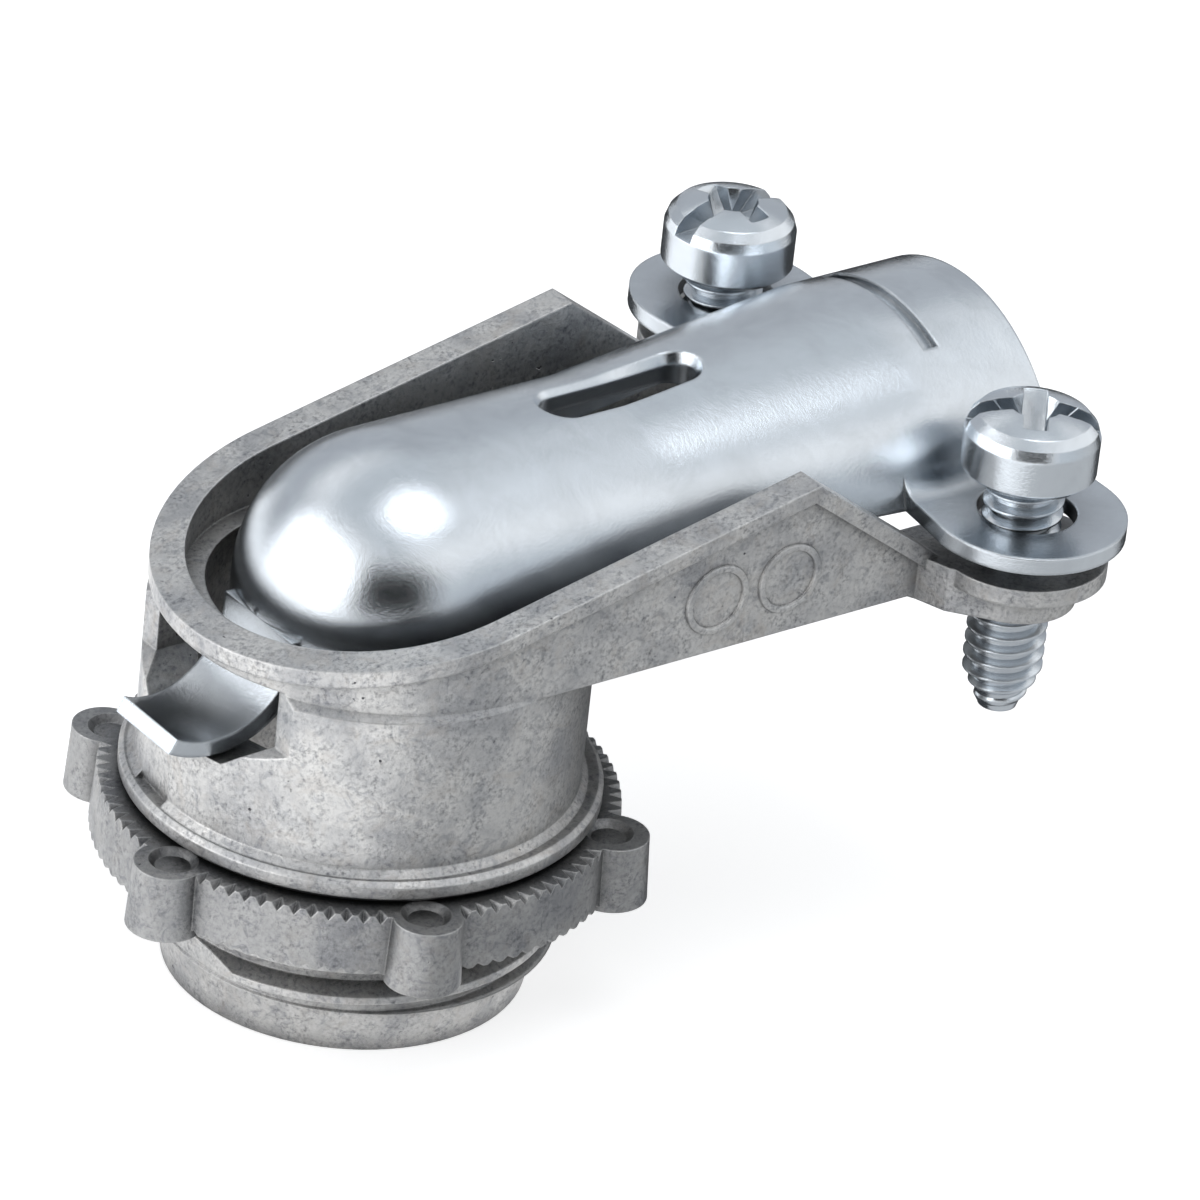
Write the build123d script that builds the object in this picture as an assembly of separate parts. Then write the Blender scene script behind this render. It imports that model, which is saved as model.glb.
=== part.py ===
from build123d import *
from math import asin, atan2, cos, degrees, pi, radians, sin, tan
import os

# Right-angle connector for flexible metal conduit, in millimetres.
# The origin is on the hub's axis, in the plane where the shoulder meets the box wall.
# +Z points out of the box, +X points to the mouth where the conduit enters.

# Hub that goes through the knockout
thread_diameter = 21.0
thread_pitch = 25.4 / 14
thread_depth = 0.9
thread_end = 7.9
thread_crest_width = 0.4
thread_root_width = 1.5
thread_gap_half_width = 9.75
nipple_length = 10.3
nipple_tip_diameter = 18.5
throat_diameter = 15.8
throat_top = 4.4
chamber_radius = 8.6
shoulder_diameter = 24.3
shoulder_thickness = 1.1
shoulder_chamfer = 0.25
neck_diameter = 22.4
neck_offset = 0.25
neck_foot_chamfer = 0.35
neck_top_taper = 0.45

# Trough, a U in plan around the hub's axis
trough_half_width = 11.0
trough_wall = 1.3
trough_base = 9.7
floor_thickness = 1.2
rim_height = 14.05
rim_slope_angle = 12.1
peak_x = 18.0
mouth_slope_angle = 36.3
lip_overhang = 0.42
lip_height = 0.85
web_start_x = 24.9

# Round channel under the conduit, with a step that stops it
conduit_radius = 7.1
conduit_axis_z = 11.85
channel_wall = 1.1
conduit_stop_x = 23.5
conduit_stop_height = 0.8

# Cast ears for the screws
ear_x = 30.2
ear_y = 12.67
ear_plate_shift = 0.3
cast_ear_radius = 4.4
cast_ear_top = 11.9
cast_ear_thickness = 0.95
boss_radius = 3.25
boss_bottom = 9.45

# Window for the strap's tongue, in a flat on the back of the neck
window_width = 10.4
sill_height = 7.0
window_top = 10.25
notch_floor_width = 6.2
ledge_height = 5.3
ledge_edge_rise = 0.3
recess_depth = 2.05
parting_flat_width = 3.0
parting_flat_depth = 0.15
parting_flat_turn = 7.4
parting_line_y = 0.45

# Strap pressed from sheet
sheet = 0.9
strap_axis_z = 11.0
nose_radius = 7.9
nose_x = 0.7
mouth_radius = 9.37
taper_start_x = 13.0
taper_end_x = 28.0
strap_end_x = 35.3
strap_ear_radius = 5.1
strap_ear_top = 14.15
strap_ear_neck = 4.5
ear_bend_radius = 1.6
strap_hole_diameter = 5.1
skirt_back_z = 9.0
skirt_side_z = 11.35
skirt_step_x = 1.0
slot_start_x = 9.2
slot_end_x = 18.4
slot_width = 2.4
slot_rim_height = 1.3
slot_chamfer = 0.35
rib_x = 30.1
rib_width = 0.9
rib_height = 0.4
rib_half_width = 4.3
tongue_root_width = 5.8
tongue_tip_width = 4.45
tongue_sheet = 0.85
tongue_reach = 13.4
tongue_radius = 4.5
tongue_play = 0.25

# Screws
screw_diameter = 4.17
screw_thread_depth = 0.43
screw_length = 13.45
screw_head_diameter = 6.9
screw_head_height = 3.75
screw_head_side = 2.2
screw_head_foot = 0.3
screw_point_length = 2.2
screw_point_diameter = 2.0
drive_slot_width = 1.15
drive_slot_depth = 1.5
cross_length = 4.9
cross_width = 1.25
cross_depth = 2.6
cross_floor_width = 0.75
cross_centre_diameter = 2.7
near_head_z = 16.5
near_slot_turn = -38.0
far_head_z = 16.0
far_slot_turn = 6.0

# Locknut
nut_top_diameter = 26.3
nut_bottom_diameter = 26.7
nut_height = 3.2
nut_gap = 0.15
lug_count = 6
lug_angle = 10.0
lug_reach = 2.0
lug_top_radius = 1.75
lug_foot_radius = 1.95
lug_foot_drop = 0.3
lug_root_inset = 0.85
lug_dish_inset = 0.25
lug_dish_radius = 1.25
lug_dish_depth = 0.35
tooth_count = 96
top_tooth_depth = 0.35
top_tooth_reach = 0.6
bottom_tooth_depth = 0.22
bottom_tooth_reach = 0.45
tooth_fill = 0.72

# Fits
nut_clearance = 0.05
screw_clearance = 0.05
margin = 1.0

# Values that follow from the sizes above
thread_radius = thread_diameter / 2
core_radius = thread_radius - thread_depth
throat_radius = throat_diameter / 2
neck_radius = neck_diameter / 2
inner_half_width = trough_half_width - trough_wall
floor_top = trough_base + floor_thickness
body_end_x = ear_x + boss_radius
rim_slope = tan(radians(rim_slope_angle))
mouth_slope = tan(radians(mouth_slope_angle))
peak_z = rim_height + rim_slope * peak_x
mouth_foot_x = peak_x + (peak_z - cast_ear_top) / mouth_slope
neck_back_x = -(neck_radius + neck_offset)
recess_x = neck_back_x + recess_depth


def side_face(*outline):
    """Face in the XZ plane from a closed outline of (x, z) points."""
    return Plane.XZ * make_face(Polyline(*outline, close=True))


def side_prism(half_width, *outline):
    """Outline in the XZ plane, extruded to both sides of the plane of symmetry."""
    return extrude(side_face(*outline), half_width, both=True)


def u_prism(half_width, end_x, bottom, top):
    """U in plan: a half circle about the hub's axis with straight sides."""
    plan = Circle(half_width) + Pos(end_x / 2, 0) * Rectangle(end_x, 2 * half_width)
    return Pos(0, 0, bottom) * extrude(plan, top - bottom)


def tube_along_x(radius, start_x, end_x, axis_z):
    """Round bar parallel to X."""
    middle = (start_x + end_x) / 2
    return Pos(middle, 0, axis_z) * Rot(0, 90, 0) * Cylinder(radius, end_x - start_x)


def hub():
    """Turned nipple and shoulder, with a neck that stands slightly back on them."""
    shoulder_radius = shoulder_diameter / 2
    turned = make_face(Polyline(
        (0, -nipple_length),
        (nipple_tip_diameter / 2, -nipple_length),
        (core_radius + 0.1, -thread_end),
        (core_radius, -thread_end + 0.1),
        (core_radius, 0),
        (shoulder_radius - shoulder_chamfer, 0),
        (shoulder_radius, shoulder_chamfer),
        (shoulder_radius, shoulder_thickness - shoulder_chamfer),
        (shoulder_radius - shoulder_chamfer, shoulder_thickness),
        (0, shoulder_thickness),
        close=True,
    ))
    neck = make_face(Polyline(
        (0, shoulder_thickness / 2),
        (neck_radius + neck_foot_chamfer, shoulder_thickness / 2),
        (neck_radius + neck_foot_chamfer, shoulder_thickness),
        (neck_radius, shoulder_thickness + neck_foot_chamfer),
        (neck_radius, trough_base),
        (neck_radius - neck_top_taper, trough_base + neck_top_taper),
        (0, trough_base + neck_top_taper),
        close=True,
    ))
    return revolve(Plane.XZ * turned, Axis.Z) + Pos(-neck_offset, 0, 0) * revolve(Plane.XZ * neck, Axis.Z)


def nipple_thread():
    """Cast thread ridge, interrupted on the two sides where the mould parts."""
    turns_height = thread_end + thread_pitch
    path = Helix(thread_pitch, turns_height, core_radius, center=(0, 0, -turns_height))
    overlap = 0.15
    section = Plane(path @ 0, x_dir=(1, 0, 0), z_dir=path % 0) * make_face(Polyline(
        (-overlap, -thread_root_width / 2),
        (thread_depth, -thread_crest_width / 2),
        (thread_depth, thread_crest_width / 2),
        (-overlap, thread_root_width / 2),
        close=True,
    ))
    ridge = sweep(section, path=path, is_frenet=True)
    room = Box(2 * thread_gap_half_width, 2 * thread_diameter, thread_end)
    return ridge & Pos(0, 0, -thread_end / 2) * room


def trough():
    """Side walls with their lip, floor and round channel, all solid inside."""
    back = -trough_half_width - margin
    rim_back = rim_height + rim_slope * back
    sides = u_prism(trough_half_width, body_end_x, boss_bottom, peak_z) & side_prism(
        shoulder_diameter,
        (back, trough_base),
        (back, rim_back),
        (peak_x, peak_z),
        (mouth_foot_x, cast_ear_top),
        (body_end_x, cast_ear_top),
        (body_end_x, boss_bottom),
        (web_start_x + 2 * (trough_base - boss_bottom), boss_bottom),
        (web_start_x, trough_base),
    )
    rim_drop = lip_height / cos(radians(rim_slope_angle))
    mouth_drop = lip_height / cos(radians(mouth_slope_angle))
    inner_peak_x = peak_x + (mouth_drop - rim_drop) / (rim_slope + mouth_slope) * -1
    inner_peak_z = peak_z + rim_slope * (inner_peak_x - peak_x) - rim_drop
    lip_end_x = mouth_foot_x + lip_overhang
    lip = u_prism(trough_half_width + lip_overhang, lip_end_x, boss_bottom, peak_z) & side_prism(
        shoulder_diameter,
        (back, rim_back),
        (peak_x, peak_z),
        (lip_end_x, peak_z - mouth_slope * (lip_end_x - peak_x)),
        (lip_end_x, peak_z - mouth_slope * (lip_end_x - peak_x) - mouth_drop),
        (inner_peak_x, inner_peak_z),
        (back, rim_back - rim_drop),
    )
    channel = tube_along_x(conduit_radius + channel_wall, 0, body_end_x, conduit_axis_z)
    channel &= u_prism(trough_half_width, body_end_x, 0, floor_top)
    return sides + lip + channel


def cast_ear(side):
    """Ear with its boss and the web that carries it, on one side."""
    disc = Pos(ear_x + ear_plate_shift, side * ear_y, cast_ear_top) * Cylinder(
        cast_ear_radius, cast_ear_thickness, align=(Align.CENTER, Align.CENTER, Align.MAX))
    boss = Pos(ear_x, side * ear_y, cast_ear_top) * Cylinder(
        boss_radius, cast_ear_top - boss_bottom, align=(Align.CENTER, Align.CENTER, Align.MAX))
    web_plan = make_face(Polyline(
        (web_start_x, side * (trough_half_width - trough_wall / 2)),
        (web_start_x + 0.4, side * trough_half_width),
        (web_start_x + 1.0, side * ear_y),
        (ear_x - boss_radius * cos(radians(50)), side * (ear_y + boss_radius * sin(radians(50)))),
        (ear_x, side * ear_y),
        (body_end_x, side * (trough_half_width - trough_wall / 2)),
        close=True,
    ))
    web = Pos(0, 0, boss_bottom) * extrude(web_plan, cast_ear_top - boss_bottom)
    return disc + boss + web


def hollow():
    """Space inside the trough, the channel, the throat and the tongue's window."""
    channel_end = body_end_x + margin
    space = u_prism(inner_half_width, channel_end, floor_top, peak_z + margin)
    space += tube_along_x(conduit_radius, conduit_stop_x, channel_end, conduit_axis_z)
    space += tube_along_x(conduit_radius - conduit_stop_height, 0, channel_end, conduit_axis_z)
    throat_height = nipple_length + margin + throat_top
    throat = Cylinder(throat_radius, throat_height, align=(Align.CENTER, Align.CENTER, Align.MAX))
    space += Pos(0, 0, throat_top) * throat
    chamber_height = floor_top + margin - throat_top
    chamber = Cylinder(chamber_radius, chamber_height, align=(Align.CENTER, Align.CENTER, Align.MIN))
    space += Pos(0, 0, throat_top) * chamber
    window = Plane.YZ * make_face(Polyline(
        (-window_width / 2, window_top),
        (-window_width / 2, sill_height),
        (-notch_floor_width / 2, ledge_height),
        (notch_floor_width / 2, ledge_height),
        (window_width / 2, sill_height),
        (window_width / 2, window_top),
        close=True,
    ))
    return space + extrude(window, neck_back_x - margin)


def neck_recesses():
    """Flat with a sloping sill round the window, and the shallow flat beside the parting line."""
    ramp_slope = (sill_height - ledge_height - ledge_edge_rise) / recess_depth
    outside_x = neck_back_x - margin
    recess = side_prism(
        neck_radius,
        (recess_x, window_top),
        (recess_x, sill_height),
        (outside_x, sill_height - ramp_slope * (recess_x - outside_x)),
        (outside_x, window_top),
    )
    flat_height = sill_height - shoulder_thickness
    flat = Box(margin, parting_flat_width, flat_height, align=(Align.MAX, Align.MIN, Align.MIN))
    place = Pos(neck_back_x + parting_flat_depth, parting_line_y, shoulder_thickness)
    return recess + place * Rot(0, 0, -parting_flat_turn) * flat


def body():
    """One die-casting: hub, trough and ears."""
    solid = hub() + nipple_thread() + trough()
    for side in (-1, 1):
        solid += cast_ear(side)
    solid -= hollow()
    solid -= neck_recesses()
    hole_radius = screw_diameter / 2 + screw_clearance
    for side in (-1, 1):
        hole = Cylinder(hole_radius, cast_ear_top, align=(Align.CENTER, Align.CENTER, Align.CENTER))
        solid -= Pos(ear_x, side * ear_y, cast_ear_top) * hole
    return solid


def strap_form(inset, end_x):
    """Solid under the strap's outer face, or under its inner face when inset by the sheet."""
    nose = nose_radius - inset
    mouth = mouth_radius - inset
    edges = [
        CenterArc((nose_x, 0), nose, 90, 90),
        Line((nose_x, nose), (taper_start_x, nose)),
        Line((taper_start_x, nose), (taper_end_x, mouth)),
        Line((taper_end_x, mouth), (end_x, mouth)),
        Line((end_x, mouth), (end_x, 0)),
        Line((end_x, 0), (nose_x - nose, 0)),
    ]
    half_plan = make_face(edges)
    axis = Axis((0, 0, strap_axis_z), (1, 0, 0))
    arch = revolve(Pos(0, 0, strap_axis_z) * half_plan, axis, 180)
    plan = half_plan + mirror(half_plan, Plane.XZ)
    skirt = Pos(0, 0, skirt_back_z) * extrude(plan, strap_axis_z - skirt_back_z)
    return arch + skirt


def strap_ears():
    """Plan of the two ears, as plates."""
    plates = []
    plate_x = ear_x + ear_plate_shift
    for side in (-1, 1):
        disc = Pos(plate_x, side * ear_y) * Circle(strap_ear_radius)
        arm = make_face(Polyline(
            (plate_x - strap_ear_radius, side * ear_y),
            (plate_x - strap_ear_neck, side * (mouth_radius - 2 * sheet)),
            (plate_x + strap_ear_radius, side * (mouth_radius - 2 * sheet)),
            (plate_x + strap_ear_radius, side * ear_y),
            close=True,
        ))
        plate = Pos(0, 0, strap_ear_top - sheet) * extrude(disc + arm, sheet)
        hole = Pos(plate_x, side * ear_y, strap_ear_top) * Cylinder(strap_hole_diameter / 2, 4 * sheet)
        plates.append(plate - hole)
    return plates


def tongue():
    """Tongue that hooks through the window and rests on the ledge."""
    root_x = nose_x - nose_radius + tongue_sheet / 2
    centre_z = ledge_height + tongue_play + tongue_sheet / 2 + tongue_radius
    past_lowest = degrees(asin((root_x + tongue_reach - tongue_radius) / tongue_radius))
    middle_line = Line((root_x, strap_axis_z), (root_x, centre_z)) + CenterArc(
        (root_x - tongue_radius, centre_z), tongue_radius, 0, -90 - past_lowest)
    strip = extrude(Plane.XZ * trace(middle_line, tongue_sheet), tongue_root_width, both=True)
    wide_x = root_x + tongue_sheet
    plan = make_face(Polyline(
        (wide_x, -tongue_root_width / 2),
        (root_x - tongue_sheet, -tongue_root_width / 2),
        (-tongue_reach - margin, -tongue_tip_width / 2),
        (-tongue_reach - margin, tongue_tip_width / 2),
        (root_x - tongue_sheet, tongue_root_width / 2),
        (wide_x, tongue_root_width / 2),
        close=True,
    ))
    return strip & extrude(plan, strap_axis_z)


def slot_plan(extra):
    """Obround of the strap's slot, grown by extra on all sides."""
    middle = (slot_start_x + slot_end_x) / 2
    length = slot_end_x - slot_start_x
    return Pos(middle, 0) * SlotOverall(length + 2 * extra, slot_width + 2 * extra)


def strap():
    """Saddle strap pressed from one sheet: nose, tube, ears and tongue."""
    outer = strap_form(0, strap_end_x)
    inner = strap_form(sheet, strap_end_x + margin)
    ear_underside = strap_ear_top - sheet
    side_rise_end = ear_x + ear_plate_shift - strap_ear_radius - 1.2
    below = side_prism(
        2 * mouth_radius,
        (-2 * nose_radius, 0),
        (-2 * nose_radius, skirt_back_z),
        (skirt_step_x, skirt_back_z),
        (skirt_step_x + 1.2, skirt_side_z),
        (side_rise_end, ear_underside),
        (strap_end_x + margin, ear_underside),
        (strap_end_x + margin, 0),
    )
    solid = outer - below
    for plate in strap_ears():
        solid += plate
    bends = [e for e in solid.edges()
             if abs(e.center().Z - strap_ear_top) < 0.02 and abs(e.center().Y) < mouth_radius and e.length > 5]
    solid = fillet(bends, ear_bend_radius)
    solid -= inner
    inner_top = strap_axis_z + nose_radius - sheet
    collar = Pos(0, 0, inner_top - slot_rim_height + sheet) * extrude(slot_plan(sheet), slot_rim_height + sheet)
    solid += collar & outer
    solid -= Pos(0, 0, strap_axis_z) * extrude(slot_plan(0), nose_radius + margin)
    rim_edges = [e for e in solid.edges()
                 if slot_start_x - 0.1 < e.center().X < slot_end_x + 0.1
                 and abs(e.center().Y) < slot_width / 2 + 0.1
                 and e.center().Z > strap_axis_z + nose_radius - 0.25]
    solid = chamfer(rim_edges, slot_chamfer)
    solid -= rib_band(mouth_radius - rib_height, mouth_radius + margin, rib_width / 2)
    solid += rib_band(mouth_radius - sheet - rib_height, mouth_radius - sheet + 0.05, rib_width / 2 + sheet / 2)
    return solid + tongue()


def rib_band(inner_radius, outer_radius, half_width):
    """Part of a ring across the top of the tube, for the pressed rib."""
    start = rib_x - half_width
    end = rib_x + half_width
    ring = tube_along_x(outer_radius, start, end, strap_axis_z) - tube_along_x(
        inner_radius, start - margin, end + margin, strap_axis_z)
    room = Pos(rib_x, 0, strap_axis_z) * Box(
        4 * half_width, 2 * rib_half_width, 2 * outer_radius, align=(Align.CENTER, Align.CENTER, Align.MIN))
    return ring & room


def screw(side, head_z, slot_turn):
    """Pan-head screw with a slot and a cross recess, standing in the ear on one side."""
    head_radius = screw_head_diameter / 2
    core = screw_diameter / 2 - screw_thread_depth
    shoulder_rise = screw_head_height - screw_head_side
    dome_edge = (0.83 * head_radius, screw_head_side + 0.64 * shoulder_rise)
    dome_middle = (0.45 * head_radius, screw_head_side + 0.91 * shoulder_rise)
    outline = make_face([
        Polyline(
            (0, screw_head_height),
            (0, -screw_length),
            (screw_point_diameter / 2, -screw_length),
            (core, -screw_length + screw_point_length),
            (core, 0),
            (head_radius - screw_head_foot, 0),
            (head_radius, screw_head_foot),
            (head_radius, screw_head_side),
            (0.95 * head_radius, screw_head_side + 0.34 * shoulder_rise),
            dome_edge,
        ),
        ThreePointArc(dome_edge, dome_middle, (0, screw_head_height)),
    ])
    solid = revolve(Plane.XZ * outline, Axis.Z)
    on_top = (Align.CENTER, Align.CENTER, Align.MAX)
    wings = Box(cross_width, cross_length, 2 * cross_depth) + Box(cross_length, cross_width, 2 * cross_depth)
    wings &= Cone(cross_floor_width / 2, cross_length / 2, cross_depth, align=on_top)
    wings += Cone(cross_floor_width / 2, cross_centre_diameter / 2, cross_depth, align=on_top)
    drive = wings + Box(screw_head_diameter + margin, drive_slot_width, 2 * drive_slot_depth)
    drive += Box(cross_floor_width, cross_floor_width, 2 * cross_depth + cross_floor_width)
    solid -= Pos(0, 0, screw_head_height) * drive
    return Pos(ear_x, side * ear_y, head_z) * Rot(0, 0, slot_turn) * solid


def tooth_gaps(face_z, edge_radius, depth, reach):
    """Ring of V-shaped gaps that run out towards the middle, in the face above or below."""
    facing = 1 if face_z > -nut_gap - nut_height / 2 else -1
    half_width = pi * edge_radius / tooth_count * tooth_fill
    rise = 0.3
    profile = Plane.YZ * make_face(Polyline(
        (-half_width * (1 + rise), facing * depth * rise),
        (0, -facing * depth),
        (half_width * (1 + rise), facing * depth * rise),
        close=True,
    ))
    gap = Pos(-2 * reach, 0, 0) * extrude(profile, 2 * reach + depth)
    tilt = facing * degrees(atan2(depth, reach))
    gap = Pos(edge_radius, 0, face_z) * Rot(0, tilt, 0) * gap
    return [Rot(0, 0, 360 / tooth_count * index) * gap for index in range(tooth_count)]


def locknut():
    """Ring nut with lugs for the screwdriver and fine teeth on both faces."""
    bore_radius = thread_radius + nut_clearance
    top_radius = nut_top_diameter / 2
    bottom_radius = nut_bottom_diameter / 2
    top = -nut_gap
    bottom = top - nut_height
    outline = make_face(Polyline(
        (bore_radius, bottom), (bottom_radius, bottom), (top_radius, top), (bore_radius, top), close=True))
    solid = revolve(Plane.XZ * outline, Axis.Z)
    solid -= tooth_gaps(top, top_radius, top_tooth_depth, top_tooth_reach)
    solid -= tooth_gaps(bottom, bottom_radius, bottom_tooth_depth, bottom_tooth_reach)
    lug_x = top_radius + lug_reach - lug_foot_radius
    lug_height = nut_height + lug_foot_drop
    lug = Pos(lug_x, 0, top) * Cone(
        lug_foot_radius, lug_top_radius, lug_height, align=(Align.CENTER, Align.CENTER, Align.MAX))
    lug &= Pos(top_radius - lug_root_inset, 0, 0) * Box(
        2 * nut_height, 2 * nut_height, 4 * nut_height, align=(Align.MIN, Align.CENTER, Align.CENTER))
    dish = Pos(top_radius - lug_dish_inset, 0, top) * Cone(
        lug_dish_radius - lug_dish_depth, lug_dish_radius, lug_dish_depth,
        align=(Align.CENTER, Align.CENTER, Align.MAX))
    for index in range(lug_count):
        turn = Rot(0, 0, lug_angle + 360 / lug_count * index)
        solid += turn * lug
        solid -= turn * dish
    return solid


os.makedirs("parts", exist_ok=True)
export_step(body(), "parts/body.step")
export_step(strap(), "parts/strap.step")
export_step(screw(-1, near_head_z, near_slot_turn), "parts/screw_near.step")
export_step(screw(1, far_head_z, far_slot_turn), "parts/screw_far.step")
export_step(locknut(), "parts/locknut.step")
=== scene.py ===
import bmesh
import bpy
from math import cos, pi, radians, sin
from mathutils import Matrix, Vector


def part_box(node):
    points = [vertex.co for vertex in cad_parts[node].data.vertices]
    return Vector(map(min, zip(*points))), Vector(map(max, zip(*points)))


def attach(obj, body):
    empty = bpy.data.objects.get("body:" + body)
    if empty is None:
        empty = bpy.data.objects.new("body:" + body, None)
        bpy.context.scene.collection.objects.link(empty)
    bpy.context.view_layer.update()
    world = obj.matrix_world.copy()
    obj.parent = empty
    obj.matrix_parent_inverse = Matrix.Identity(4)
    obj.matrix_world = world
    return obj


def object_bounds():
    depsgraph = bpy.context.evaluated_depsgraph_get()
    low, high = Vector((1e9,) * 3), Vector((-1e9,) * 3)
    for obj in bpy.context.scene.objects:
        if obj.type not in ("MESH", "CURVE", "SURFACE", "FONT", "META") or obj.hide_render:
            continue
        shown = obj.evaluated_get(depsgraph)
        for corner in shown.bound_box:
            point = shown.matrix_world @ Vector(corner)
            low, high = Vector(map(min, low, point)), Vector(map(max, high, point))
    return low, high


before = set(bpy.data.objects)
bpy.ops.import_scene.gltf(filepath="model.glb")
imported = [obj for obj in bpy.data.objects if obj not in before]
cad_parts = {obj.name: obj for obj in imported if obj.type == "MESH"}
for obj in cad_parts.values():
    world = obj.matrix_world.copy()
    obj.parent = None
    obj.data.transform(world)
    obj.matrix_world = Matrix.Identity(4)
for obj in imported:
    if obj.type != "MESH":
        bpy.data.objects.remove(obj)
cad_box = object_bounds()
MM = 0.001
WHITE = (1.0, 1.0, 1.0)

# Camera, fitted to the photograph
EYE = Vector((-0.26051, -0.33886, 0.25265))
CAMERA_RIGHT = Vector((0.80636, -0.58355, 0.09620))
CAMERA_UP = Vector((0.22170, 0.44903, 0.86558))
CAMERA_BACK = Vector((-0.54831, -0.67665, 0.49145))
LENS_MM = 298.28
SENSOR_MM = 36.0
CLIP_START = 0.01
CLIP_END = 20.0

# Screw thread, the ridge on the plain core: its root lies ROOT_SINK inside the core, and its
# crest at least LEAST_RIDGE above the root
SCREW_RADIUS = 2.05 * MM
SCREW_CORE_RADIUS = 1.655 * MM
SCREW_PITCH = 0.794 * MM
SCREW_LENGTH = 13.45 * MM
SCREW_POINT_LENGTH = 2.2 * MM
SCREW_POINT_RADIUS = 1.0 * MM
ROOT_SINK = 0.06 * MM
LEAST_RIDGE = 0.08 * MM
STEPS_PER_TURN = 40
# The ridge in pitches: start above the tip, length left off, half widths at root and crest
RIDGE_START = 0.25
RIDGE_LEFT_OFF = 0.5
ROOT_HALF_WIDTH = 0.42
CREST_HALF_WIDTH = 0.07

# Plain raised rings on the side of the trough; the centres are x and z in millimetres
RING_CENTRES = [(12.55, 12.65), (17.0, 12.75)]
RING_RADIUS = 1.72 * MM
RING_THICKNESS = 0.16 * MM
RING_HALF_WIDTH = 1.4 * RING_THICKNESS
RING_STEPS_AROUND = 48
RING_STEPS_ACROSS = 8
TROUGH_HALF_WIDTH = 11.0 * MM
SMOOTH_ANGLE = radians(35)

# Sockets of the Mix node: factor, first, second and result
MIX_COLOURS = (0, 6, 7, 2)
MIX_VECTORS = (0, 4, 5, 1)

# Rounded edges and dark corners: samples, and cosines between the rounded and the plain normal
EDGE_SAMPLES = 4
CORNER_SAMPLES = 3
PLAIN_TO_WORN = (0.995, 0.90)
STEEP_TO_SHALLOW = (0.980, 0.993)

# Casting: each noise as cells per millimetre, detail, roughness and distortion
SAND_NOISE = (4.2, 6.0, 0.70, 0.0)
VEIN_NOISE = (1.1, 6.0, 0.66, 1.6)
CLOUD_NOISE = (0.24, 5.0, 0.62, 0.6)
STAIN_NOISE = (0.5, 5.0, 0.68, 1.2)
CALM_NOISE = (0.75, 4.0, 0.6, 0.0)
PIT_NOISE = (1.9, 2.0, 0.4, 0.0)
GRAIN_NOISE = (4.6, 5.0, 0.65, 0.0)
# Casting: the values of each noise between which its layer changes
SAND_STEPS = (0.33, 0.50, 0.66)
VEIN_STEPS = (0.36, 0.47)
CLOUD_STEPS = (0.36, 0.56)
STAIN_STEPS = (0.52, 0.72)
CALM_STEPS = (0.38, 0.62)
PIT_STEPS = (0.755, 0.785)
# Casting: colours of the layers, and how much of each shows
SAND_GLINT = 1.22
SAND_LEAST = 0.25
VEIN_TINT = (0.68, 0.69, 0.72)
VEIN_SHARE = 0.85
CLOUD_TINT = (0.62, 0.635, 0.67)
CLOUD_SHARE = 0.8
STAIN_SHARE = 0.4
PIT_COLOUR = (0.10, 0.10, 0.11)
WORN_COLOUR = (0.80, 0.80, 0.79)
WORN_SHARE = 0.5
CAST_METALLIC = 0.9
CAST_ROUGHNESS = (0.46, 0.36)
# Casting: relief as depth in millimetres and strength
GRAIN_RELIEF = (0.035, 0.7)
VEIN_RELIEF = (0.08, 0.4)
PIT_RELIEF = (0.12, 0.6)

# Plating: noises and their steps as for the casting, colours and relief
HAZE_NOISE = (0.35, 5.0, 0.6, 0.5)
PLATE_GRAIN_NOISE = (5.5, 5.0, 0.7, 0.0)
FLECK_NOISE = (5.0, 6.0, 0.72, 0.0)
HAZE_STEPS = (0.32, 0.6)
FLECK_STEPS = (0.66, 0.78)
HAZE_DARKEST = 0.9
FLECK_COLOUR = (0.34, 0.37, 0.41)
FLECK_SHARE = 0.4
HAZE_ROUGHER = 0.04
HAZE_SMOOTHER = 0.03
PLATE_GRAIN_RELIEF = (0.014, 0.8)

# Both: where roughness changes with its noise, and the values of openness between which the
# shade in inner corners fades
ROUGHNESS_STEPS = (0.3, 0.7)
CAST_OPENNESS = (0.30, 0.92)
PLATE_OPENNESS = (0.20, 0.72)

# The four metals. Edges are rounded in the shading only. Each shade is the reach in millimetres
# and the darkest tone in inner corners.
CAST_SHADES = ((1.2, 0.30), (7.0, 0.62))
BODY_METAL = {
    "light": (0.69, 0.685, 0.675), "dark": (0.28, 0.28, 0.29), "stain": (0.52, 0.47, 0.42),
    "edge_mm": 0.16,
}
NUT_METAL = {
    "light": (0.41, 0.41, 0.41), "dark": (0.20, 0.20, 0.21), "stain": (0.33, 0.31, 0.29),
    "edge_mm": 0.12,
}
STRAP_METAL = {
    "tint": (0.78, 0.83, 0.88), "roughness": 0.17, "sheared_mm": 0.25, "formed_mm": 2.2,
    "shades": ((3.0, 0.50), (9.0, 0.40)),
}
SCREW_METAL = {
    "tint": (0.76, 0.81, 0.86), "roughness": 0.20, "sheared_mm": 0.10, "formed_mm": 0.30,
    "shades": ((2.5, 0.55),),
}

# Softboxes: name, place, width, height and power, in metres and watts
LIGHT_TARGET = (0.005, 0.0, 0.012)
SOFTBOXES = [
    ("softbox_left", (-0.50, 0.14, 0.19), 0.72, 0.38, 1.5),
    ("softbox_top", (0.05, -0.13, 0.60), 0.32, 0.28, 0.62),
    ("softbox_right", (0.38, -0.22, 0.53), 0.56, 0.30, 0.06),
]
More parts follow.
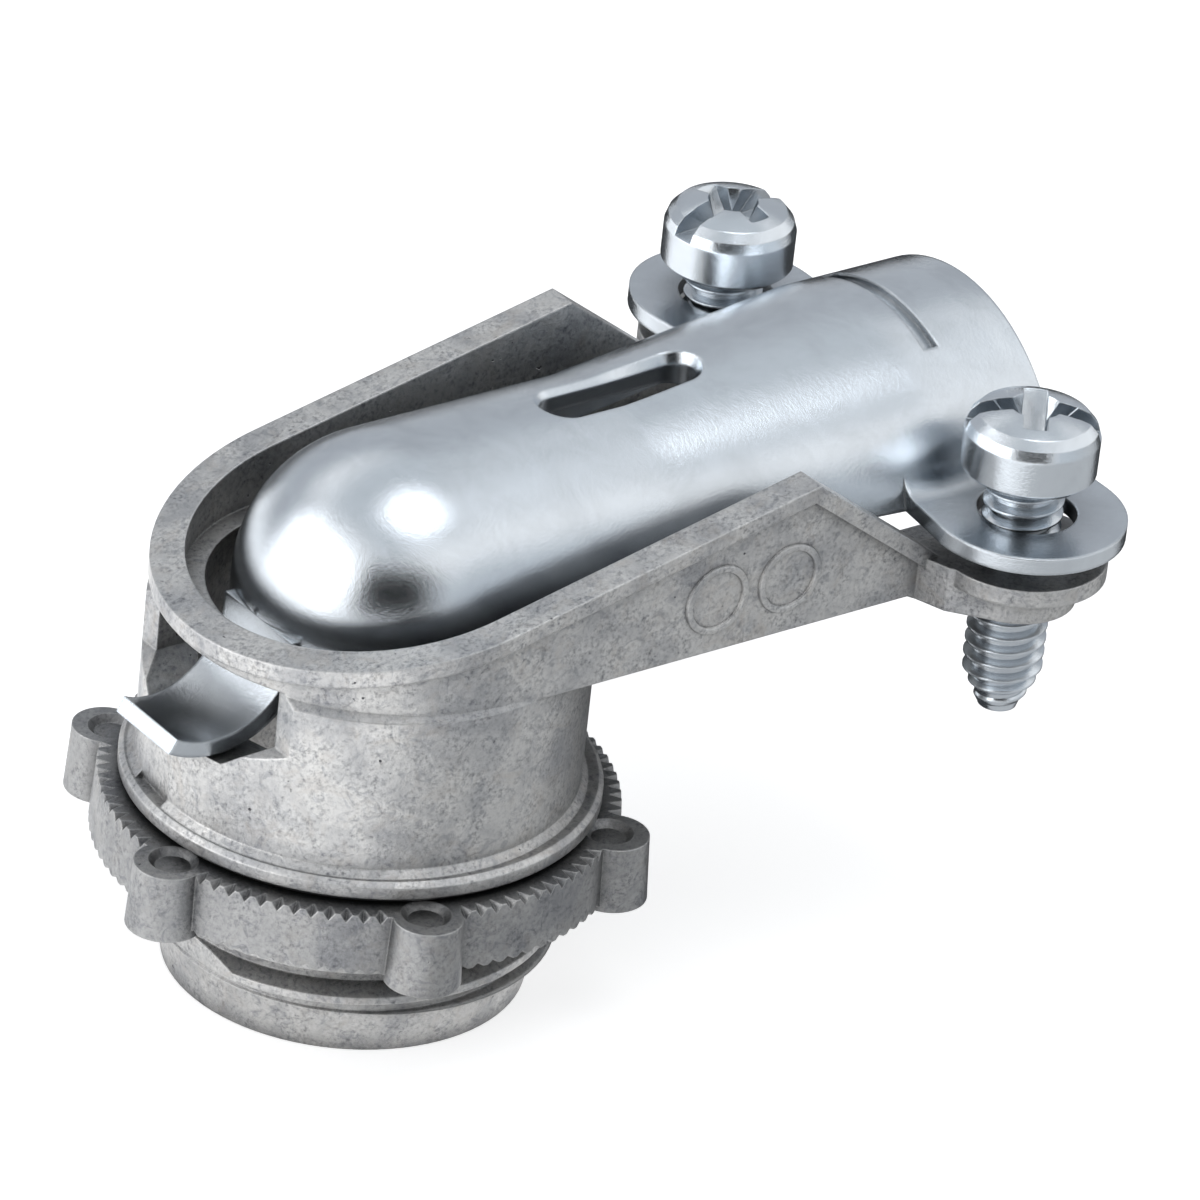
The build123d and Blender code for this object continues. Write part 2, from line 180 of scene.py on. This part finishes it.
# Floor and world: what lights the part; the camera and the metal see white
FLOOR_SIZE = 6.0
FLOOR_DROP = 0.05 * MM
FLOOR_COLOUR = (0.62, 0.62, 0.62)
FLOOR_GLOW = 0.74
SKY_HEIGHTS = (-0.1, 0.9)
SKY_STEPS = (0.0, 0.45, 1.0)
SKY_COLOURS = ((0.34, 0.35, 0.37), (0.46, 0.48, 0.50), (0.50, 0.51, 0.53))

# Boards round the set, out of the camera's sight, that the metal reflects: name, place, width,
# height and grey
BOARDS = [
    ("board_front", (-0.43, -0.62, 0.29), 0.92, 0.58, (0.03, 0.03, 0.03)),
    ("board_right", (0.50, -0.80, 0.22), 1.10, 0.50, (0.62, 0.66, 0.70)),
    ("board_back", (0.62, 0.76, 0.42), 2.00, 0.86, (0.46, 0.48, 0.51)),
    ("board_far", (-0.62, 0.92, 0.36), 1.30, 0.72, (0.46, 0.48, 0.51)),
    ("board_above", (0.00, 0.00, 0.95), 1.50, 1.50, (0.57, 0.60, 0.63)),
]
# Cards on the table beside the part, seen only in the metal as painted darker reflections of the
# table, with no light or shadow of their own: name, lowest and highest x, lowest and highest y, and
# grey
REFLECTION_CARDS = [
    ("reflection_card_front", (-0.012, 0.80), (-1.00, -0.012), (0.52, 0.53, 0.54)),
    ("reflection_card_back", (0.012, 0.80), (-0.012, 0.80), (0.05, 0.052, 0.055)),
]
CARD_LIFT = 0.30 * MM


class Nodes:
    """Short way to build a material from nodes and links."""

    def __init__(self, tree):
        self.tree = tree

    def add(self, kind, **sockets):
        node = self.tree.nodes.new(kind)
        for name, value in sockets.items():
            self.fill(node.inputs[name.replace("_", " ")], value)
        return node

    def fill(self, socket, value):
        """Link a socket to another node's output, or set its plain value."""
        if isinstance(value, bpy.types.NodeSocket):
            self.tree.links.new(value, socket)
        else:
            socket.default_value = value

    def noise(self, scale_per_mm, detail, roughness, distortion):
        """Noise in the part's own coordinates; the scale is in cells per millimetre."""
        place = self.add("ShaderNodeTexCoord")
        node = self.add("ShaderNodeTexNoise", Scale=scale_per_mm / MM, Detail=detail,
                        Roughness=roughness, Distortion=distortion)
        self.tree.links.new(place.outputs["Object"], node.inputs["Vector"])
        return node.outputs["Fac"]

    def ramp(self, value, positions, colours):
        node = self.add("ShaderNodeValToRGB", Fac=value)
        ramp = node.color_ramp
        while len(ramp.elements) < len(positions):
            ramp.elements.new(0.5)
        for element, position, colour in zip(ramp.elements, positions, colours):
            element.position = position
            element.color = (*colour, 1.0)
        return node.outputs["Color"]

    def mix(self, factor, one, two, blend="MIX"):
        """Mix of two colours, each a plain one or another node's output."""
        factor_in, one_in, two_in, result = MIX_COLOURS
        node = self.tree.nodes.new("ShaderNodeMix")
        node.data_type = "RGBA"
        node.blend_type = blend
        self.fill(node.inputs[factor_in], factor)
        for index, value in ((one_in, one), (two_in, two)):
            plain = not isinstance(value, bpy.types.NodeSocket)
            self.fill(node.inputs[index], (*value, 1.0) if plain else value)
        return node.outputs[result]

    def map_range(self, value, low, high, to_low, to_high):
        node = self.add("ShaderNodeMapRange", Value=value)
        for name, number in (("From Min", low), ("From Max", high),
                             ("To Min", to_low), ("To Max", to_high)):
            node.inputs[name].default_value = number
        return node.outputs["Result"]

    def bump(self, height, distance_mm, strength, normal):
        node = self.add("ShaderNodeBump", Height=height, Distance=distance_mm * MM,
                        Strength=strength)
        self.tree.links.new(normal, node.inputs["Normal"])
        return node.outputs["Normal"]

    def soft_edge(self, radius_mm):
        """Normals that look rounded near sharp edges."""
        node = self.add("ShaderNodeBevel", Radius=radius_mm * MM)
        node.samples = EDGE_SAMPLES
        return node.outputs["Normal"]

    def agreement(self, normal):
        """Cosine between a normal and the plain face's own."""
        face = self.add("ShaderNodeNewGeometry")
        turn = self.add("ShaderNodeVectorMath")
        turn.operation = "DOT_PRODUCT"
        self.tree.links.new(face.outputs["Normal"], turn.inputs[0])
        self.tree.links.new(normal, turn.inputs[1])
        return turn.outputs["Value"]

    def worn_edge(self, rounded):
        """1 on edges, 0 on plain faces, told by the rounded normal."""
        return self.map_range(self.agreement(rounded), *PLAIN_TO_WORN, 0.0, 1.0)

    def pressed_surface(self, sheared_mm, formed_mm):
        """Tight rounding at sheared edges, wide rounding where the sheet only changes its slope."""
        factor_in, sheared_in, formed_in, result = MIX_VECTORS
        formed = self.soft_edge(formed_mm)
        shallow = self.map_range(self.agreement(formed), *STEEP_TO_SHALLOW, 0.0, 1.0)
        blend = self.tree.nodes.new("ShaderNodeMix")
        blend.data_type = "VECTOR"
        self.tree.links.new(shallow, blend.inputs[factor_in])
        self.tree.links.new(self.soft_edge(sheared_mm), blend.inputs[sheared_in])
        self.tree.links.new(formed, blend.inputs[formed_in])
        return blend.outputs[result]

    def openness(self, reach_mm):
        """1 in the open, falling towards 0 in inner corners."""
        node = self.add("ShaderNodeAmbientOcclusion", Distance=reach_mm * MM)
        node.samples = CORNER_SAMPLES
        return node.outputs["AO"]

    def darken_corners(self, colour, fade, shades):
        """The colour, darker where openness falls through the two values of fade."""
        for reach_mm, darkest in shades:
            shade = self.map_range(self.openness(reach_mm), *fade, darkest, 1.0)
            colour = self.mix(1.0, colour, shade, "MULTIPLY")
        return colour


def new_material(name):
    material = bpy.data.materials.new(name)
    material.use_nodes = True
    material.node_tree.nodes.clear()
    return material, Nodes(material.node_tree)


def finish_material(nodes, shader):
    output = nodes.add("ShaderNodeOutputMaterial")
    nodes.tree.links.new(shader.outputs[0], output.inputs["Surface"])


def cast_zinc(name, light, dark, stain, edge_mm):
    """Tumbled zinc die-casting: satin grey with sandy mottling, veins, clouds, stains and pits."""
    material, nodes = new_material(name)
    rounded = nodes.soft_edge(edge_mm)
    sand = nodes.noise(*SAND_NOISE)
    vein = nodes.noise(*VEIN_NOISE)
    cloud = nodes.noise(*CLOUD_NOISE)
    warm = nodes.noise(*STAIN_NOISE)
    glint = tuple(SAND_GLINT * c for c in light)
    colour = nodes.ramp(sand, SAND_STEPS, (dark, light, glint))
    sandy = nodes.map_range(nodes.noise(*CALM_NOISE), *CALM_STEPS, SAND_LEAST, 1.0)
    colour = nodes.mix(sandy, light, colour)
    veins = nodes.ramp(vein, VEIN_STEPS, (VEIN_TINT, WHITE))
    colour = nodes.mix(VEIN_SHARE, colour, veins, "MULTIPLY")
    clouds = nodes.ramp(cloud, CLOUD_STEPS, (CLOUD_TINT, WHITE))
    colour = nodes.mix(CLOUD_SHARE, colour, clouds, "MULTIPLY")
    colour = nodes.mix(nodes.map_range(warm, *STAIN_STEPS, 0.0, STAIN_SHARE), colour, stain)
    pits = nodes.map_range(nodes.noise(*PIT_NOISE), *PIT_STEPS, 0.0, 1.0)
    colour = nodes.mix(pits, colour, PIT_COLOUR)
    worn = nodes.map_range(nodes.worn_edge(rounded), 0.0, 1.0, 0.0, WORN_SHARE)
    colour = nodes.mix(worn, colour, WORN_COLOUR)
    colour = nodes.darken_corners(colour, CAST_OPENNESS, CAST_SHADES)
    rough = nodes.map_range(cloud, *ROUGHNESS_STEPS, *CAST_ROUGHNESS)
    normal = nodes.bump(nodes.noise(*GRAIN_NOISE), *GRAIN_RELIEF, rounded)
    normal = nodes.bump(vein, *VEIN_RELIEF, normal)
    unpitted = nodes.map_range(pits, 0.0, 1.0, 1.0, 0.0)
    normal = nodes.bump(unpitted, *PIT_RELIEF, normal)
    shader = nodes.add("ShaderNodeBsdfPrincipled", Base_Color=colour, Roughness=rough,
                       Normal=normal, Metallic=CAST_METALLIC)
    finish_material(nodes, shader)
    return material


def zinc_plate(name, tint, roughness, sheared_mm, formed_mm, shades):
    """Bright bluish zinc plating with haze, small dark flecks and a fine grain."""
    material, nodes = new_material(name)
    haze = nodes.noise(*HAZE_NOISE)
    grain = nodes.noise(*PLATE_GRAIN_NOISE)
    hazy = tuple(c * HAZE_DARKEST for c in tint)
    colour = nodes.ramp(haze, HAZE_STEPS, (hazy, tint))
    flecks = nodes.map_range(nodes.noise(*FLECK_NOISE), *FLECK_STEPS, 0.0, FLECK_SHARE)
    colour = nodes.mix(flecks, colour, FLECK_COLOUR)
    colour = nodes.darken_corners(colour, PLATE_OPENNESS, shades)
    rough = nodes.map_range(haze, *ROUGHNESS_STEPS, roughness + HAZE_ROUGHER,
                            roughness - HAZE_SMOOTHER)
    surface = nodes.pressed_surface(sheared_mm, formed_mm)
    normal = nodes.bump(grain, *PLATE_GRAIN_RELIEF, surface)
    shader = nodes.add("ShaderNodeBsdfPrincipled", Base_Color=colour, Roughness=rough,
                       Normal=normal, Metallic=1.0)
    finish_material(nodes, shader)
    return material


def paint(piece, material):
    piece.data.materials.clear()
    piece.data.materials.append(material)


def smooth(piece):
    for polygon in piece.data.polygons:
        polygon.use_smooth = True
    piece.data.set_sharp_from_angle(angle=SMOOTH_ANGLE)


def mesh_piece(name, vertices, faces, body, material):
    mesh = bpy.data.meshes.new(name)
    mesh.from_pydata(vertices, [], faces)
    mesh.update()
    work = bmesh.new()
    work.from_mesh(mesh)
    bmesh.ops.recalc_face_normals(work, faces=work.faces)
    work.to_mesh(mesh)
    work.free()
    piece = bpy.data.objects.new(name, mesh)
    bpy.context.scene.collection.objects.link(piece)
    paint(piece, material)
    smooth(piece)
    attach(piece, body)
    return piece


def screw_thread(node, material):
    """Helical ridge from under the head to the point, on one screw."""
    low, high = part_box(node)
    axis_x = (low.x + high.x) / 2
    axis_y = (low.y + high.y) / 2
    tip = low.z
    seat = tip + SCREW_LENGTH
    vertices = []
    faces = []
    turns = (SCREW_LENGTH - RIDGE_LEFT_OFF * SCREW_PITCH) / SCREW_PITCH
    steps = int(turns * STEPS_PER_TURN)
    for step in range(steps + 1):
        angle = 2 * pi * step / STEPS_PER_TURN
        middle = tip + RIDGE_START * SCREW_PITCH + SCREW_PITCH * step / STEPS_PER_TURN
        cone = min(1.0, (middle - tip) / SCREW_POINT_LENGTH)
        crest = SCREW_POINT_RADIUS + (SCREW_RADIUS - SCREW_POINT_RADIUS) * cone
        root = SCREW_POINT_RADIUS + (SCREW_CORE_RADIUS - SCREW_POINT_RADIUS) * cone - ROOT_SINK
        crest = max(crest, root + LEAST_RIDGE)
        profile = ((root, -ROOT_HALF_WIDTH), (crest, -CREST_HALF_WIDTH),
                   (crest, CREST_HALF_WIDTH), (root, ROOT_HALF_WIDTH))
        for radius, lift in profile:
            x = axis_x + radius * cos(angle)
            y = axis_y + radius * sin(angle)
            z = min(middle + lift * SCREW_PITCH, seat)
            vertices.append((x, y, max(z, tip)))
        if step:
            new = len(vertices) - len(profile)
            old = new - len(profile)
            for side in range(len(profile)):
                other = (side + 1) % len(profile)
                faces.append((old + side, old + other, new + other, new + side))
    faces.append(tuple(range(len(profile))))
    faces.append(tuple(range(len(vertices) - len(profile), len(vertices))))
    return mesh_piece(node + "_thread", vertices, faces, node, material)


def raised_ring(name, x_mm, z_mm, material):
    """Thin plain ring standing on the near side wall."""
    vertices = []
    faces = []
    for i in range(RING_STEPS_AROUND):
        turn = 2 * pi * i / RING_STEPS_AROUND
        here = i * RING_STEPS_ACROSS
        there = (i + 1) % RING_STEPS_AROUND * RING_STEPS_ACROSS
        for j in range(RING_STEPS_ACROSS):
            swell = 2 * pi * j / RING_STEPS_ACROSS
            radius = RING_RADIUS + RING_HALF_WIDTH * cos(swell)
            x = x_mm * MM + radius * cos(turn)
            y = -TROUGH_HALF_WIDTH - RING_THICKNESS * sin(swell)
            z = z_mm * MM + radius * sin(turn)
            vertices.append((x, y, z))
            k = (j + 1) % RING_STEPS_ACROSS
            faces.append((here + j, here + k, there + k, there + j))
    return mesh_piece(name, vertices, faces, "body", material)


def add_camera():
    data = bpy.data.cameras.new("camera")
    data.lens = LENS_MM
    data.sensor_width = SENSOR_MM
    data.clip_start = CLIP_START
    data.clip_end = CLIP_END
    camera = bpy.data.objects.new("camera", data)
    bpy.context.scene.collection.objects.link(camera)
    turn = Matrix((CAMERA_RIGHT, CAMERA_UP, CAMERA_BACK)).transposed()
    camera.matrix_world = Matrix.Translation(EYE) @ turn.to_4x4()
    bpy.context.scene.camera = camera


def add_softbox(name, place, width, height, power):
    data = bpy.data.lights.new(name, "AREA")
    data.shape = "RECTANGLE"
    data.size = width
    data.size_y = height
    data.energy = power
    light = bpy.data.objects.new(name, data)
    bpy.context.scene.collection.objects.link(light)
    light.location = place
    towards = Vector(place) - Vector(LIGHT_TARGET)
    light.rotation_euler = towards.to_track_quat("Z", "Y").to_euler()


def shown_white(nodes, shader, white):
    """White where the camera, the metal or glass looks; the plain shader lights the rest."""
    path = nodes.add("ShaderNodeLightPath")
    seen = path.outputs["Is Camera Ray"]
    for other in ("Is Glossy Ray", "Is Transmission Ray"):
        larger = nodes.tree.nodes.new("ShaderNodeMath")
        larger.operation = "MAXIMUM"
        nodes.tree.links.new(seen, larger.inputs[0])
        nodes.tree.links.new(path.outputs[other], larger.inputs[1])
        seen = larger.outputs[0]
    mix = nodes.add("ShaderNodeMixShader", Fac=seen)
    nodes.tree.links.new(shader.outputs[0], mix.inputs[1])
    nodes.tree.links.new(white.outputs[0], mix.inputs[2])
    return mix


def flat_sheet(name, width, height, material):
    """Plain stage sheet facing +Z of its own frame."""
    mesh = bpy.data.meshes.new(name)
    x = width / 2
    y = height / 2
    mesh.from_pydata([(-x, -y, 0), (x, -y, 0), (x, y, 0), (-x, y, 0)], [], [(0, 1, 2, 3)])
    sheet = bpy.data.objects.new(name, mesh)
    bpy.context.scene.collection.objects.link(sheet)
    paint(sheet, material)
    return sheet


def add_floor(foot):
    """White floor that keeps the part's soft shadow."""
    material, nodes = new_material("floor_paint")
    paper = nodes.add("ShaderNodeBsdfDiffuse", Color=(*FLOOR_COLOUR, 1.0))
    glow = nodes.add("ShaderNodeEmission", Color=(*WHITE, 1.0), Strength=FLOOR_GLOW)
    both = nodes.add("ShaderNodeAddShader")
    nodes.tree.links.new(paper.outputs[0], both.inputs[0])
    nodes.tree.links.new(glow.outputs[0], both.inputs[1])
    finish_material(nodes, shown_white(nodes, paper, both))
    floor = flat_sheet("floor", FLOOR_SIZE, FLOOR_SIZE, material)
    floor.location = (0, 0, foot - FLOOR_DROP)


def unseen_sheet(name, width, height, grey):
    """Evenly grey sheet that lights and shows in the metal, but that the camera doesn't see."""
    material, nodes = new_material(name + "_cloth")
    finish_material(nodes, nodes.add("ShaderNodeEmission", Color=(*grey, 1.0), Strength=1.0))
    sheet = flat_sheet(name, width, height, material)
    sheet.visible_camera = False
    return sheet


def add_boards(foot):
    """Upright boards and the one above, then the table cards, which only show in the metal as
    painted darker reflections.
    """
    for name, place, width, height, grey in BOARDS:
        board = unseen_sheet(name, width, height, grey)
        board.location = place
        board.rotation_euler = (-Vector(place)).to_track_quat("Z", "Y").to_euler()
    # Painted reflections: cards that only the metal sees, darkening what it reflects of the table
    for name, (low_x, high_x), (low_y, high_y), grey in REFLECTION_CARDS:
        card = unseen_sheet(name, high_x - low_x, high_y - low_y, grey)
        card.location = ((low_x + high_x) / 2, (low_y + high_y) / 2, foot + CARD_LIFT)
        card.visible_diffuse = False
        card.visible_shadow = False


def add_world():
    world = bpy.data.worlds.new("studio")
    bpy.context.scene.world = world
    world.use_nodes = True
    world.node_tree.nodes.clear()
    nodes = Nodes(world.node_tree)
    place = nodes.add("ShaderNodeTexCoord")
    split = nodes.add("ShaderNodeSeparateXYZ", Vector=place.outputs["Generated"])
    height = nodes.map_range(split.outputs["Z"], *SKY_HEIGHTS, 0.0, 1.0)
    sky = nodes.ramp(height, SKY_STEPS, SKY_COLOURS)
    light = nodes.add("ShaderNodeBackground", Color=sky, Strength=1.0)
    white = nodes.add("ShaderNodeBackground", Color=(*WHITE, 1.0), Strength=1.0)
    output = nodes.add("ShaderNodeOutputWorld")
    shown = shown_white(nodes, light, white)
    world.node_tree.links.new(shown.outputs[0], output.inputs["Surface"])


def dress():
    body_metal = cast_zinc("cast_zinc_body", **BODY_METAL)
    nut_metal = cast_zinc("cast_zinc_nut", **NUT_METAL)
    strap_metal = zinc_plate("zinc_plate_strap", **STRAP_METAL)
    screw_metal = zinc_plate("zinc_plate_screw", **SCREW_METAL)
    for node, metal in (("body", body_metal), ("strap", strap_metal), ("locknut", nut_metal),
                        ("screw_near", screw_metal), ("screw_far", screw_metal)):
        paint(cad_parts[node], metal)
    for node in ("screw_near", "screw_far"):
        screw_thread(node, screw_metal)
    for number, (x_mm, z_mm) in enumerate(RING_CENTRES, start=1):
        raised_ring("side_ring_%d" % number, x_mm, z_mm, body_metal)


def light_and_stage():
    low, _ = cad_box
    foot = low[2]
    add_floor(foot)
    add_boards(foot)
    add_world()
    for softbox in SOFTBOXES:
        add_softbox(*softbox)


dress()
light_and_stage()
add_camera()
bpy.context.scene.view_settings.view_transform = "Standard"
